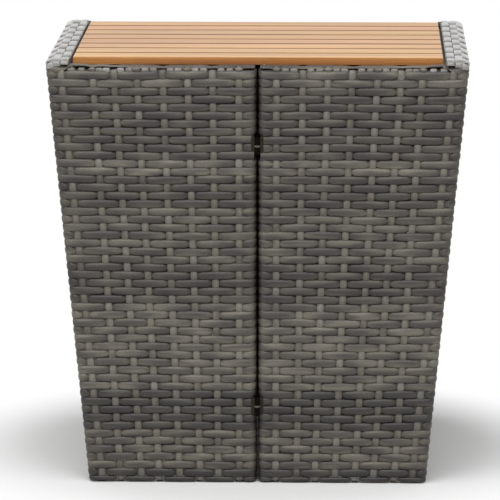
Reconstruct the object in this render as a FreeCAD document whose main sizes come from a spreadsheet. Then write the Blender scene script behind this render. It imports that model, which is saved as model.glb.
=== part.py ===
import FreeCAD, Part
import math
import os

# A woven coffee table: a leaning base in two hinged halves and a slatted top that lifts off.
# X runs to the right, Y to the back and Z up. All sizes are in millimetres.
# The origin is on the floor under the middle of the whole part, hinges included.

os.makedirs("parts", exist_ok=True)
doc = FreeCAD.newDocument("coffee_table")

# Driving sizes
SIZES = {
    "top_width": 507,
    "base_width": 408,
    "depth": 400,
    "height": 515,
    "seam": 3.4,
    "weave": 3,
    "groove": 1.2,
    "top_border": 4.4,
    "low_border": 2.6,
    "tube": 18,
    "rim_tube": 24,
    "tube_wall": 1.2,
    "glide_height": 1.5,
    "glide_radius": 7,
    "rim_round": 8,
    "rim_flat": 0.1,
    "rim_corner": 9,
    "slat_thick": 9,
    "slat_gap": 6.5,
    "slat_setback": 28,
    "slat_end_gap": 1.5,
    "slat_round": 1,
    "swing_clearance": 0.5,
    "seat_clearance": 0.3,
    "batten_wide": 24,
    "batten_thick": 14,
    "batten_setback": 40,
    "batten_offset": 75,
    "screw_radius": 1.75,
    "screw_head_radius": 3.5,
    "screw_head_high": 2.2,
    "screw_bite": 6,
    "ledge_width": 20,
    "ledge_end_gap": 6,
    "ledge_thick": 3,
    "ledge_tall": 11,
    "hinge_high": 20,
    "hinge_upper": 412,
    "hinge_lower": 95,
    "hinge_proud": 1,
    "knuckle_radius": 3,
    "leaf_start": 3.2,
    "leaf_wide": 3.6,
    "leaf_thick": 2,
    "leaf_deep": 14,
    "leaf_margin": 0.5,
    "pin_radius": 1.5,
    "pin_head_radius": 2.3,
    "pin_head_high": 1.2,
    "running_clearance": 0.05,
    "washer_radius": 3.3,
    "washer_thick": 2,
    "washer_play": 0.1,
}
SLATS = 8
ROWS = 51
HALVES = ("left", "right")
FACES = ("front", "back")

sheet = doc.addObject("Spreadsheet::Sheet", "Sizes")
for row, (name, value) in enumerate(SIZES.items(), start=1):
    sheet.set(f"A{row}", name)
    sheet.set(f"B{row}", str(value))
    sheet.setAlias(f"B{row}", name)
doc.recompute()


def size(name):
    return f"Sizes.{name}"


# Heights that several pieces share
TOP = size("height")
SLAT_LOW = f"({TOP} - Sizes.slat_thick)"
PANEL_TOP = f"({SLAT_LOW} - Sizes.swing_clearance)"
PANEL_LOW = size("glide_height")
TUBE_LOW = f"({PANEL_LOW} + Sizes.weave)"
LOW_RAIL_TOP = f"({TUBE_LOW} + Sizes.tube)"
RAIL_TOP = f"({PANEL_TOP} - Sizes.weave)"
RAIL_LOW = f"({RAIL_TOP} - Sizes.tube)"
RIM_RAIL_TOP = f"({TOP} - Sizes.weave)"
RIM_RAIL_LOW = f"({RIM_RAIL_TOP} - Sizes.tube)"

# Distances from the face of a panel inwards
FACE_IN = size("weave")
TUBE_IN = f"({FACE_IN} + Sizes.tube)"
WRAP_IN = f"({TUBE_IN} + Sizes.weave)"


# Distances from the middle plane, as functions of the height z
def outside(z):
    return f"((Sizes.base_width + (Sizes.top_width - Sizes.base_width) * {z} / Sizes.height) / 2)"


def post_outside(z):
    return f"({outside(z)} - Sizes.weave)"


def post_inside(z):
    return f"({post_outside(z)} - Sizes.rim_tube)"


def side_inside(z):
    return f"({post_inside(z)} - Sizes.weave)"


def seam_edge(z):
    return "(Sizes.seam / 2)"


def stile_near(z):
    return f"({seam_edge(z)} + Sizes.weave)"


def stile_far(z):
    return f"({stile_near(z)} + Sizes.tube)"


def stile_wrap_far(z):
    return f"({stile_far(z)} + Sizes.weave)"


def inset(function, amount):
    return lambda z: f"({function(z)} - {amount})"


def outset(function, amount):
    return lambda z: f"({function(z)} + {amount})"


SLAT_END = f"({side_inside(SLAT_LOW)} - Sizes.slat_end_gap)"


def face_span(face, shallow, deep):
    """The Y range between two distances behind the front face or in from the back face."""
    if face == "front":
        return f"({shallow} - Sizes.depth / 2)", f"({deep} - Sizes.depth / 2)"
    return f"(Sizes.depth / 2 - {deep})", f"(Sizes.depth / 2 - {shallow})"


def middle_span(inwards):
    """The Y range that ends the given distance in from both faces."""
    return f"({inwards} - Sizes.depth / 2)", f"(Sizes.depth / 2 - {inwards})"


UPRIGHT = FreeCAD.Placement(FreeCAD.Vector(0, 0, 0), FreeCAD.Rotation(FreeCAD.Vector(1, 0, 0), 90))
# The hinges stand out at the front only, so the woven base sits this far behind the origin
BASE_SHIFT = "((Sizes.hinge_proud + Sizes.washer_radius) / 2)"


def block(half, near, far, y_span, low, high):
    """A block between two distances from the middle plane, on the left or the right."""
    wedge = doc.addObject("Part::Wedge", f"{half}_block")
    for prefix, z in (("X", low), ("X2", high)):
        ends = (near(z), far(z)) if half == "right" else (f"-{far(z)}", f"-{near(z)}")
        wedge.setExpression(f"{prefix}min", ends[0])
        wedge.setExpression(f"{prefix}max", ends[1])
    wedge.setExpression("Ymin", low)
    wedge.setExpression("Ymax", high)
    for prefix in ("Z", "Z2"):
        wedge.setExpression(f"{prefix}min", f"-{y_span[1]}")
        wedge.setExpression(f"{prefix}max", f"-{y_span[0]}")
    wedge.Placement = UPRIGHT
    wedge.setExpression("Placement.Base.y", BASE_SHIFT)
    return wedge


def place(thing, x="0", y="0", z="0"):
    for axis, value in zip("xyz", (x, f"{y} + {BASE_SHIFT}", z)):
        thing.setExpression(f"Placement.Base.{axis}", value)
    return thing


def box(x, y, z, length, width, height):
    thing = doc.addObject("Part::Box", "box")
    thing.setExpression("Length", length)
    thing.setExpression("Width", width)
    thing.setExpression("Height", height)
    return place(thing, x, y, z)


def cylinder(radius, height, x, y, z):
    thing = doc.addObject("Part::Cylinder", "cylinder")
    thing.setExpression("Radius", radius)
    thing.setExpression("Height", height)
    return place(thing, x, y, z)


def joined(pieces):
    thing = doc.addObject("Part::MultiFuse", "joined")
    thing.Shapes = pieces
    return thing


def cut(base, tools):
    thing = doc.addObject("Part::Cut", "cut")
    thing.Base = base
    thing.Tool = tools[0] if len(tools) == 1 else joined(tools)
    return thing


nodes = []


def node(label, pieces):
    """Name one finished piece, or a group of like pieces that stay separate solids."""
    thing = pieces[0]
    if len(pieces) > 1:
        thing = doc.addObject("Part::Compound", "group")
        thing.Links = pieces
    thing.Label = label
    nodes.append(thing)


def rounded(base, radius, wanted):
    """Round the edges of a piece that the test picks out."""
    doc.recompute()
    thing = doc.addObject("Part::Fillet", "rounded")
    thing.Base = base
    picked = [i for i, edge in enumerate(base.Shape.Edges, start=1) if wanted(edge)]
    thing.Edges = [(i, radius, radius) for i in picked]
    return thing


def ends_at(edge, axis, value):
    return all(abs(getattr(v.Point, axis) - value) < 0.01 for v in edge.Vertexes)


WALL = size("tube_wall")


def upright_tube(half, near, far, shallow, deep, face, low, high):
    """A tube that stands at one face; its bore is open at both ends."""
    whole = block(half, near, far, face_span(face, shallow, deep), low, high)
    bore_y = face_span(face, f"({shallow} + {WALL})", f"({deep} - {WALL})")
    bore = block(half, outset(near, WALL), inset(far, WALL), bore_y, low, high)
    return cut(whole, [bore])


def cross_tube(half, face, low, high):
    """A tube across one face, from the stile to the post."""
    whole = block(half, stile_far, post_inside, face_span(face, FACE_IN, TUBE_IN), low, high)
    bore_y = face_span(face, f"({FACE_IN} + {WALL})", f"({TUBE_IN} - {WALL})")
    bore = block(half, stile_far, post_inside, bore_y, f"({low} + {WALL})", f"({high} - {WALL})")
    return cut(whole, [bore])


def side_tube(half, y_span, low, high):
    """A tube along the side, from front to back."""
    whole = block(half, post_inside, post_outside, y_span, low, high)
    bore = block(half, outset(post_inside, WALL), inset(post_outside, WALL), y_span,
                 f"({low} + {WALL})", f"({high} - {WALL})")
    return cut(whole, [bore])


HINGE_HEIGHTS = (size("hinge_upper"), size("hinge_lower"))
LEAF_FAR = "(Sizes.leaf_start + Sizes.leaf_wide)"
LEG_IN = f"({FACE_IN} + Sizes.leaf_deep + Sizes.leaf_margin)"


def hinge_notches(half, far, shallow, deep):
    """Bare spots by the seam for the hinge leaves and pin heads, between two distances behind the face."""
    reach = "(Sizes.hinge_high / 2 + Sizes.pin_head_high + Sizes.leaf_margin)"
    y_span = face_span("front", shallow, deep)
    return [
        block(half, lambda z: "0", far, y_span, f"({z} - {reach})", f"({z} + {reach})")
        for z in HINGE_HEIGHTS
    ]


ROW_PITCH = f"(({PANEL_TOP} - {PANEL_LOW} - Sizes.top_border - Sizes.low_border) / {ROWS})"
GROOVE_HEIGHTS = [f"({PANEL_TOP} - Sizes.top_border - {row} * {ROW_PITCH})" for row in range(ROWS + 1)]
GROOVE_BAR = "(Sizes.groove * sqrt(2))"


def turned(bar, axis):
    """Stand a square bar on its edge, so that it cuts a V."""
    bar.Placement.Rotation = FreeCAD.Rotation(axis, 45)
    return bar


def face_grooves(face):
    """V grooves across the front or the back, between the rows of the weave."""
    face_y = face_span(face, "0", "0")[0]
    return joined([
        turned(box("-Sizes.top_width", face_y, f"({z} - Sizes.groove)",
                   "(2 * Sizes.top_width)", GROOVE_BAR, GROOVE_BAR), FreeCAD.Vector(1, 0, 0))
        for z in GROOVE_HEIGHTS
    ])


def side_grooves(half):
    """V grooves along one side, between the rows of the weave."""
    sign = "" if half == "right" else "-"
    return joined([
        turned(box(f"({sign}{outside(z)} - Sizes.groove)", "-Sizes.depth", z,
                   GROOVE_BAR, "(2 * Sizes.depth)", GROOVE_BAR), FreeCAD.Vector(0, 1, 0))
        for z in GROOVE_HEIGHTS
    ])


GROOVES = {face: face_grooves(face) for face in FACES}


def rail_blocks(half, face):
    """Solid stand-ins for the two tubes across a face, used to cut the wraps."""
    y_span = face_span(face, FACE_IN, TUBE_IN)
    return [
        block(half, stile_far, post_inside, y_span, TUBE_LOW, LOW_RAIL_TOP),
        block(half, stile_far, post_inside, y_span, RAIL_LOW, RAIL_TOP),
    ]


def face_panel(half, face):
    """The tubes, the woven face and the wraps of the front or the back of one half."""
    node(f"{half}_{face}_post", [upright_tube(
        half, post_inside, post_outside, FACE_IN, TUBE_IN, face, TUBE_LOW, RIM_RAIL_LOW)])
    node(f"{half}_{face}_stile", [upright_tube(
        half, stile_near, stile_far, FACE_IN, TUBE_IN, face, TUBE_LOW, RAIL_TOP)])
    node(f"{half}_{face}_rails", [
        cross_tube(half, face, TUBE_LOW, LOW_RAIL_TOP),
        cross_tube(half, face, RAIL_LOW, RAIL_TOP),
    ])

    woven = block(half, seam_edge, outside, face_span(face, "0", FACE_IN), PANEL_LOW, PANEL_TOP)
    notches = []
    wrap_notches = []
    if face == "front":
        notches = hinge_notches(half, lambda z: f"({LEAF_FAR} + Sizes.leaf_margin)", "0", FACE_IN)
        wrap_notches = hinge_notches(half, stile_near, FACE_IN, LEG_IN)
    node(f"{half}_{face}_weave", [cut(woven, [GROOVES[face]] + notches)])

    wrap_y = face_span(face, FACE_IN, WRAP_IN)
    tube_y = face_span(face, FACE_IN, TUBE_IN)
    stile_wrap = cut(
        block(half, seam_edge, stile_wrap_far, wrap_y, PANEL_LOW, PANEL_TOP),
        [block(half, stile_near, stile_far, tube_y, TUBE_LOW, RAIL_TOP)]
        + rail_blocks(half, face) + wrap_notches)
    post_wrap = cut(
        block(half, side_inside, post_outside, wrap_y, PANEL_LOW, RIM_RAIL_LOW),
        [block(half, post_inside, post_outside, tube_y, TUBE_LOW, RIM_RAIL_LOW),
         block(half, post_inside, post_outside, middle_span(TUBE_IN), TUBE_LOW, LOW_RAIL_TOP)]
        + rail_blocks(half, face))
    low_wrap = cut(
        block(half, stile_wrap_far, side_inside, wrap_y, PANEL_LOW, f"({LOW_RAIL_TOP} + Sizes.weave)"),
        rail_blocks(half, face))
    high_wrap = cut(
        block(half, stile_wrap_far, side_inside, wrap_y, f"({RAIL_LOW} - Sizes.weave)", PANEL_TOP),
        rail_blocks(half, face))
    node(f"{half}_{face}_wraps", [stile_wrap, post_wrap, low_wrap, high_wrap])


def side_panel(half):
    """The tubes, the woven face, the rim and the ledge of one side."""
    node(f"{half}_side_rails", [
        side_tube(half, middle_span(TUBE_IN), TUBE_LOW, LOW_RAIL_TOP),
        side_tube(half, middle_span(FACE_IN), RIM_RAIL_LOW, RIM_RAIL_TOP),
    ])
    woven = block(half, post_outside, outside, middle_span(FACE_IN), PANEL_LOW, SLAT_LOW)
    node(f"{half}_side_weave", [cut(woven, [side_grooves(half)])])
    low_rail = block(half, post_inside, post_outside, middle_span(TUBE_IN), TUBE_LOW, LOW_RAIL_TOP)
    node(f"{half}_side_wrap", [cut(
        block(half, side_inside, post_outside, middle_span(WRAP_IN), PANEL_LOW,
              f"({LOW_RAIL_TOP} + Sizes.weave)"),
        [low_rail])])

    cap = block(half, side_inside, outside, middle_span("0"), SLAT_LOW, TOP)
    sign = 1 if half == "right" else -1
    outer_edge = sign * SIZES["top_width"] / 2

    def corner(edge):
        upright = abs(edge.tangentAt(edge.FirstParameter).z) > 0.9
        return upright and abs(edge.Vertexes[0].Point.x - outer_edge) < 2

    def outer_top(edge):
        inner = all(abs(v.Point.x) < SIZES["top_width"] / 2 - SIZES["rim_tube"] for v in edge.Vertexes)
        return ends_at(edge, "z", SIZES["height"]) and not inner

    # The rounding ends on the rim's leaning outer side, above its lower edge
    lean = math.atan2(SIZES["top_width"] - SIZES["base_width"], 2 * SIZES["height"])
    side_length = SIZES["slat_thick"] / math.cos(lean) - SIZES["rim_flat"]
    widest_round = side_length * math.tan((math.pi / 2 - lean) / 2)
    cap = rounded(cap, SIZES["rim_corner"], corner)
    cap = rounded(cap, min(SIZES["rim_round"], widest_round), outer_top)
    rail = block(half, post_inside, post_outside, middle_span(FACE_IN), RIM_RAIL_LOW, RIM_RAIL_TOP)
    node(f"{half}_rim", [cut(cap, [rail])])

    ledge_top = f"({SLAT_LOW} - Sizes.seat_clearance)"
    ledge_y = middle_span(f"({WRAP_IN} + Sizes.ledge_end_gap)")
    shelf = block(half, lambda z: f"({SLAT_END} - Sizes.ledge_width)", post_inside, ledge_y,
                  f"({ledge_top} - Sizes.ledge_thick)", ledge_top)
    leg = block(half, inset(post_inside, size("ledge_thick")), post_inside, ledge_y,
                f"({ledge_top} - Sizes.ledge_tall)", ledge_top)
    node(f"{half}_ledge", [joined([shelf, leg])])


def glides(half):
    sign = "" if half == "right" else "-"
    feet = []
    for face in FACES:
        y = f"(Sizes.depth / 2 - Sizes.weave - Sizes.tube / 2) * ({1 if face == 'back' else -1})"
        under_stile = f"{sign}({stile_near('0')} + Sizes.tube / 2)"
        under_post = f"{sign}({post_outside('0')} - Sizes.rim_tube / 2)"
        for x in (under_stile, under_post):
            feet.append(cylinder(size("glide_radius"), size("glide_height"), x, y, "0"))
    node(f"{half}_glides", feet)


for half in HALVES:
    for face in FACES:
        face_panel(half, face)
    side_panel(half)
    glides(half)

# Two hinges in the front seam
AXIS_Y = "(-Sizes.depth / 2 - Sizes.hinge_proud)"
LEAF_Y = f"({FACE_IN} - Sizes.leaf_thick - Sizes.depth / 2)"
BORE_RADIUS = "(Sizes.pin_radius + Sizes.running_clearance)"
KNUCKLE_GAP = "(Sizes.washer_thick / 2 + Sizes.washer_play)"
KNUCKLE_HIGH = f"(Sizes.hinge_high / 2 - {KNUCKLE_GAP})"


def hinge_leaf(half, z):
    """A leaf that turns into the seam; the left knuckle is above the washer and the right one below it."""
    left = half == "left"
    knuckle_low = f"({z} + {KNUCKLE_GAP})" if left else f"({z} - Sizes.hinge_high / 2)"
    knuckle = cylinder(size("knuckle_radius"), KNUCKLE_HIGH, "0", AXIS_Y, knuckle_low)
    plate = box(f"-{LEAF_FAR}" if left else size("leaf_start"), LEAF_Y, f"({z} - Sizes.hinge_high / 2)",
                size("leaf_wide"), size("leaf_thick"), size("hinge_high"))
    tab = box("-Sizes.leaf_start" if left else "0", LEAF_Y, knuckle_low,
              size("leaf_start"), size("leaf_thick"), KNUCKLE_HIGH)
    leg = block(half, inset(stile_near, size("leaf_thick")), stile_near,
                (LEAF_Y, f"({FACE_IN} + Sizes.leaf_deep - Sizes.depth / 2)"),
                f"({z} - Sizes.hinge_high / 2)", f"({z} + Sizes.hinge_high / 2)")
    bore = cylinder(BORE_RADIUS, KNUCKLE_HIGH, "0", AXIS_Y, knuckle_low)
    return cut(joined([knuckle, plate, tab, leg]), [bore])


def hinge_pin(z):
    shaft = cylinder(size("pin_radius"), size("hinge_high"), "0", AXIS_Y, f"({z} - Sizes.hinge_high / 2)")
    head = cylinder(size("pin_head_radius"), size("pin_head_high"), "0", AXIS_Y,
                    f"({z} + Sizes.hinge_high / 2)")
    return joined([shaft, head])


def hinge_washer(z):
    low = f"({z} - Sizes.washer_thick / 2)"
    disc = cylinder(size("washer_radius"), size("washer_thick"), "0", AXIS_Y, low)
    return cut(disc, [cylinder(BORE_RADIUS, size("washer_thick"), "0", AXIS_Y, low)])


for half in HALVES:
    node(f"hinge_{half}_leaves", [hinge_leaf(half, z) for z in HINGE_HEIGHTS])
node("hinge_pins", [hinge_pin(z) for z in HINGE_HEIGHTS])
node("hinge_washers", [hinge_washer(z) for z in HINGE_HEIGHTS])

# The wooden top: slats from side to side, screwed to battens from below
SLAT_PITCH = f"((Sizes.depth - 2 * Sizes.slat_setback + Sizes.slat_gap) / {SLATS})"
SLAT_WIDE = f"({SLAT_PITCH} - Sizes.slat_gap)"
BATTEN_LOW = f"({SLAT_LOW} - Sizes.batten_thick)"
BATTEN_REACH = "(Sizes.depth / 2 - Sizes.batten_setback)"
BATTENS = {"left": -1, "right": 1}


def slat_front(index):
    return f"(Sizes.slat_setback - Sizes.depth / 2 + {index} * {SLAT_PITCH})"


def batten_middle(sign):
    return f"({sign} * Sizes.batten_offset)"


def screw(x, y):
    shank = cylinder(size("screw_radius"), "(Sizes.batten_thick + Sizes.screw_bite)", x, y, BATTEN_LOW)
    head = doc.addObject("Part::Cone", "screw_head")
    head.setExpression("Radius1", size("screw_head_radius"))
    head.setExpression("Radius2", size("screw_radius"))
    head.setExpression("Height", size("screw_head_high"))
    place(head, x, y, BATTEN_LOW)
    return joined([shank, head])


screws = {}
for name, sign in BATTENS.items():
    for index in range(SLATS):
        middle = f"({slat_front(index)} + {SLAT_WIDE} / 2)"
        screws[name, index] = screw(batten_middle(sign), middle)

for index in range(SLATS):
    slat = box(f"-{SLAT_END}", slat_front(index), SLAT_LOW,
               f"(2 * {SLAT_END})", SLAT_WIDE, size("slat_thick"))
    slat = rounded(slat, SIZES["slat_round"], lambda edge: ends_at(edge, "z", SIZES["height"]))
    node(f"slat_{index + 1}", [cut(slat, [screws[name, index] for name in BATTENS])])

for name, sign in BATTENS.items():
    batten = box(f"({batten_middle(sign)} - Sizes.batten_wide / 2)", f"-{BATTEN_REACH}", BATTEN_LOW,
                 size("batten_wide"), f"(2 * {BATTEN_REACH})", size("batten_thick"))
    node(f"batten_{name}", [cut(batten, [screws[name, index] for index in range(SLATS)])])
node("slat_screws", list(screws.values()))

doc.recompute()

# Check every piece, then write it out
for thing in doc.Objects:
    if "Invalid" in thing.State or "Error" in thing.State:
        raise RuntimeError(f"{thing.Label}: {thing.State}")
for thing in nodes:
    if thing.Shape.isNull() or not thing.Shape.isValid() or not thing.Shape.Solids:
        raise RuntimeError(f"{thing.Label} is not a valid solid")
    thing.Shape.exportStep(f"parts/{thing.Label}.step")
    print(thing.Label, len(thing.Shape.Solids), round(thing.Shape.Volume / 1000, 2), "cm3")
print(len(nodes), "nodes")
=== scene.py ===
import math
import random

import bpy
import numpy as np
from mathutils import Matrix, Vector


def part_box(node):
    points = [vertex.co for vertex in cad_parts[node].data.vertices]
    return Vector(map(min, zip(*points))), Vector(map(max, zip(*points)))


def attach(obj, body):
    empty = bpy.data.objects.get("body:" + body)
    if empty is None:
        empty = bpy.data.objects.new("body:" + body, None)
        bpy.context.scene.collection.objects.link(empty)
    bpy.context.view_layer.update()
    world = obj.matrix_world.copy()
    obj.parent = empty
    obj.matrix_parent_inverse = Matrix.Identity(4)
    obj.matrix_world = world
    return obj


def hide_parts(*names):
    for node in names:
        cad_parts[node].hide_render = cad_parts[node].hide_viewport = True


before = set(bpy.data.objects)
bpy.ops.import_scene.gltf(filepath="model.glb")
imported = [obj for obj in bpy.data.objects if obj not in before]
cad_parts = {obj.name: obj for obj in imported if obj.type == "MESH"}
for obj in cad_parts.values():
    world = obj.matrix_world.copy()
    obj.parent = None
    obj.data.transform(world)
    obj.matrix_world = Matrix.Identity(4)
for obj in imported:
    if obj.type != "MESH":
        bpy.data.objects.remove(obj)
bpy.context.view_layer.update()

dice = random.Random(7)

# Sizes are in metres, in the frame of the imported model
MM = 0.001
FULL_TURN = 6.28
SIGNS = {"left": -1, "right": 1}
SLATS = range(1, 9)

# The base: its leaning sides, its upright front and back, its seam and its rims
BOTTOM_HALF = 204 * MM
TOP_HALF = 253.5 * MM
HEIGHT = 515 * MM
LEAN = (TOP_HALF - BOTTOM_HALF) / HEIGHT
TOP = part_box("left_rim")[1].z
SLAT_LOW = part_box("slat_1")[0].z
FACE_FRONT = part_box("left_front_weave")[0].y
FACE_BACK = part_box("left_back_weave")[1].y
# Where the front and the back lie, and which way is inwards from each
FACES = ((FACE_FRONT, 1), (FACE_BACK, -1))
PANEL_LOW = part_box("left_front_weave")[0].z
PANEL_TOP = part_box("left_front_weave")[1].z
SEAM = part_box("right_front_weave")[0].x
RIM_WIDE = 30 * MM
RIM_ROUND = 7 * MM
RIM_INNER_ROUND = 2 * MM
RIM_END = SLAT_LOW + 0.5 * MM
LOW_RAIL_TOP = 27 * MM

# Rows: the level strands, counted from the top down
ROWS = 51
TOP_BORDER = 4.2 * MM
LOW_BORDER = 5.6 * MM
ROW_PITCH = (PANEL_TOP - PANEL_LOW - TOP_BORDER - LOW_BORDER) / ROWS
ROW_FIRST = PANEL_TOP - TOP_BORDER - ROW_PITCH / 2
ROW_WIDE = 10.6 * MM
LAST_ROW_WIDE = 6.4 * MM
ROW_HIGH = 3.2 * MM
CORNER_HIGH = 1.6 * MM
CORNER_ROUND = 9 * MM
# At the seam the rows turn in round the stile, close in on the middle plane and end behind the stile
SEAM_ROUND = 8.5 * MM
SEAM_INNER = 0.6 * MM
SEAM_INNER_ROUND = 2.2 * MM
ROW_END = 26 * MM
# How far a row dips behind a stake, how wide that dip is and how much narrower the row gets in it
DIP = 4.2 * MM
DIP_REACH = 6.0 * MM
PINCH = 0.34
# Distances from a stake at which the strands that cross it are sampled
NEAR_STAKE = [d * MM for d in (-10, -7.5, -5.5, -3.5, -1.2, 1.2, 3.5, 5.5, 7.5, 10)]
# Unevenness: a wave along each row, a shift of each row and a sway that neighbours share
ROW_WAVE = 0.22 * MM
ROW_SHIFT = 0.12 * MM
ROW_SWAY = 0.8 * MM
# The turns of the wave and of the sway, in radians per metre
WAVE_X, WAVE_Y = 23, 17
SWAY_X, SWAY_XZ = 31, 19
SWAY_Y, SWAY_YZ = 9, 27

# Hinges: their heights, and where the rows beside them start
HINGES = [0.412, 0.095]
HINGE_REACH = 13.5 * MM
HINGE_FULL = 10.5 * MM
LEAF_FAR = 7.4 * MM
KNUCKLE_FAR = 3.8 * MM
# The paint changes between these distances from the middle plane
KNUCKLE_RADIUS = 3 * MM
LEAF_NEAR = 3.4 * MM

# Stakes: the upright strands, with their distances from the middle plane in mm at their tops and feet
STAKE_TOPS = [235, 197, 172, 144, 114, 84, 54, 22.5]
STAKE_FEET = [187, 165, 140, 118, 94, 69, 47, 22]
FACE_STAKES = len(STAKE_TOPS)
SIDE_STAKES = 16
SIDE_PITCH = (FACE_BACK - FACE_FRONT) / SIDE_STAKES
STAKE_WIDE = 8.8 * MM
STAKE_HIGH = 2.2 * MM
STAKE_SHIFT = 0.6 * MM
# Depths of a stake's crest: where it shows, behind a row, on the upper rail and round the lower one
STAKE_OUT = 0.5 * MM
STAKE_BEHIND = ROW_HIGH - 0.2 * MM
UNDER_BORDER = 2.8 * MM
OVER_BORDER = 0.1 * MM
ROUND_FOOT = 0.6 * MM
# From this row up, the first and the last side stake lie under the turned-down ends of the rim
RIM_END_ROW = -1.4
UNDER_RIM_END = 3.4 * MM
# At its foot a stake comes out from behind the rows: at this row, over this part of a row
FOOT_ROW = ROWS + 0.2
FOOT_FADE = 0.5
# Where a stake is sampled: four times in each row, and on the rail and the rim
ROW_MARKS = [-0.5, -0.28, 0.0, 0.28]
RAIL_MARKS = [8 * MM, 16 * MM]
RIM_MARKS = [11 * MM, 15 * MM, 19 * MM, 23 * MM]

# Wraps: the strands wound round the tubes, two between one stake and the next
BETWEEN = (1 / 3, 2 / 3)
WRAP_WIDE = 8.6 * MM
WRAP_HIGH = 1.2 * MM
WRAP_DEEP = 24 * MM
WRAP_ROUND = 3 * MM
WRAP_SHIFT = 0.5 * MM
WRAP_SPREAD = (0.93, 1.02)
# On the rails: where a strand ends inside and behind the rows, and how it lies on each rail
INNER_END = 3 * MM
HIDDEN_END = 4.6 * MM
UPPER_FRONT = 0.9 * MM
UPPER_SUNK = 0.8 * MM
UPPER_REACH = 11 * MM
LOWER_FRONT = 3.2 * MM
LOWER_SUNK = 0.2 * MM
LOWER_REACH = 9 * MM
POST_GAP = 2.5 * MM
SIDE_WRAP_WIDE = 7.8 * MM
SIDE_WRAP_INSET = 2 * MM
SIDE_WRAP_SUNK = 1 * MM
SIDE_WRAP_JOIN = 15 * MM

# Borders: two strands along the top of each rail, the first of which goes on along the side
BORDER_WIDE = 9.4 * MM
BORDER_HIGH = 1.2 * MM
BORDER_BACK = 10.5 * MM
SECOND_BACK = 19.2 * MM
BORDER_LEVEL = 0.4 * MM
SECOND_LEVEL = 1.2 * MM
# On the back rails the strands stay low, because the slats pass over them when the base opens
UNDER_WOOD = 0.15 * MM
BORDER_TILT = 0.05
BORDER_STEP = 3 * MM
BORDER_DIP = 1.5 * MM
BORDER_WAVE, WAVE_TURN = 0.2 * MM, 41
BORDER_SWAY, SWAY_TURN = 1.1 * MM, 47
SEAM_GAP = 1.5 * MM
RIM_GAP = 2 * MM
# At the front corners the border rises to the rim; at all corners it turns on edge and bends round
CORNER_RISE = 3.2 * MM
CORNER_REACH = 45 * MM
CORNER_RUN = 21 * MM
CORNER_INSET = 0.8 * MM
CORNER_DROP = 1.8 * MM
BEND_ROUND = 9 * MM
BEND_SIDE = 9.4 * MM
BEND_FACE = 9.9 * MM
BEND_DROP = 1.4 * MM
BEND_RISE = 1.6 * MM
BEND_TILT = 0.12
ON_EDGE = 0.8
SIDE_BORDER_END = 9.5 * MM
SIDE_BORDER_INSET = 0.4 * MM
TUCK_PLACES = np.array([-2.5, 0, 3, 6]) * MM
TUCK_BACK = 22 * MM

# Rim rows, counted up from the first row of the side: how many mm each turns down at its ends, and
# how many mm it lies inside the rim's outline
RIM_ROWS = [(-2, 9.0, 1.2), (-3, 8.0, 0.1), (-4, 6.0, 0.1)]
RIM_ROW_WIDE = 10.2 * MM
RIM_ROW_HIGH = 2.8 * MM
RIM_DIP = 2.6 * MM
END_LONG = 12 * MM
END_INWARD = 5.8 * MM
END_BACK = 1.2 * MM
# The ends follow a curve of this power; an ellipse has 2
END_POWER = 3
BENDS = [math.radians(angle) for angle in (90, 72, 54, 36, 18)]
# Rim wraps: across the rim, sunk under the rows away from its inner edge
RIM_WRAP_WIDE = 8.4 * MM
RIM_WRAP_SPREAD = (0.96, 1.02)
RIM_WRAP_HIGH = 1.6 * MM
RIM_WRAP_INSET = 0.3 * MM
RIM_WRAP_SUNK = 2.4 * MM
SUNK_FROM = 2.5 * MM
SUNK_OVER = 0.6 * MM

# Sections of the strands: places across, and heights
PROFILE = np.array([(-0.5, 0.0), (-0.45, 0.42), (-0.37, 0.74), (-0.2, 0.95), (0.0, 1.0),
                    (0.2, 0.95), (0.37, 0.74), (0.45, 0.42), (0.5, 0.0)])
ROUND_PROFILE = np.array([(-0.5, 0.0), (-0.46, 0.34), (-0.37, 0.64), (-0.2, 0.91), (0.0, 1.0),
                          (0.2, 0.91), (0.37, 0.64), (0.46, 0.34), (0.5, 0.0)])
FLAT_PROFILE = np.array([(-0.5, 0.0), (-0.48, 0.5), (-0.42, 0.86), (-0.24, 0.98), (0.0, 1.0),
                         (0.24, 0.98), (0.42, 0.86), (0.48, 0.5), (0.5, 0.0)])
SHARP_ANGLE = math.radians(55)
# Sampled places closer than this to the rounding of a corner are left out
CLOSE = 0.1 * MM


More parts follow.
